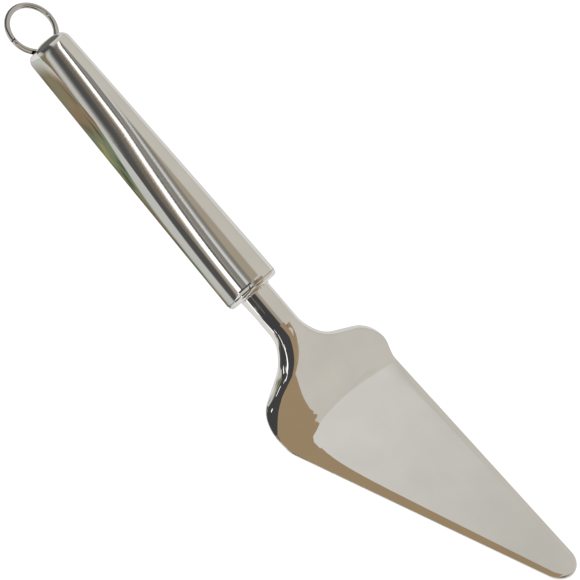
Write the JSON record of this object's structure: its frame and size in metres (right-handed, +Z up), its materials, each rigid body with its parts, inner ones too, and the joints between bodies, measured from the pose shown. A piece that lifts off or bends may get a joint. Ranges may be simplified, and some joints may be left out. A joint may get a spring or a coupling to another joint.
{
  "type": "cake server",
  "caption": "Steel cake server: triangular blade on a cranked half-round neck, hollow tapered handle and a loose hanging ring.",
  "frame": {"origin": "middle of the whole object's box, on the surface that the blade's underside rests on", "axes": "+X from the hanging ring to the blade's tip, +Y across the blade, +Z up from the blade's flat top"},
  "size_m": [0.2528, 0.0606, 0.07],
  "materials": {
    "blade_steel": "polished stainless steel with faint rolling marks",
    "cap_steel": "polished stainless steel",
    "handle_steel": "satin to polished stainless steel, drawn along its length",
    "ring_wire": "bright drawn stainless steel wire"
  },
  "bodies": {
    "server": {"blade": "blade_steel", "front_cap": "cap_steel", "handle_tube": "handle_steel"},
    "ring": {"hanging_ring": "ring_wire"}
  },
  "joints": [
    {"name": "ring_swing", "type": "hinge", "parent": "server", "child": "ring", "pos_m": [-0.10988, 0, 0.06249], "axis": [0, 1, 0], "range_deg": [-45, 45]}
  ]
}
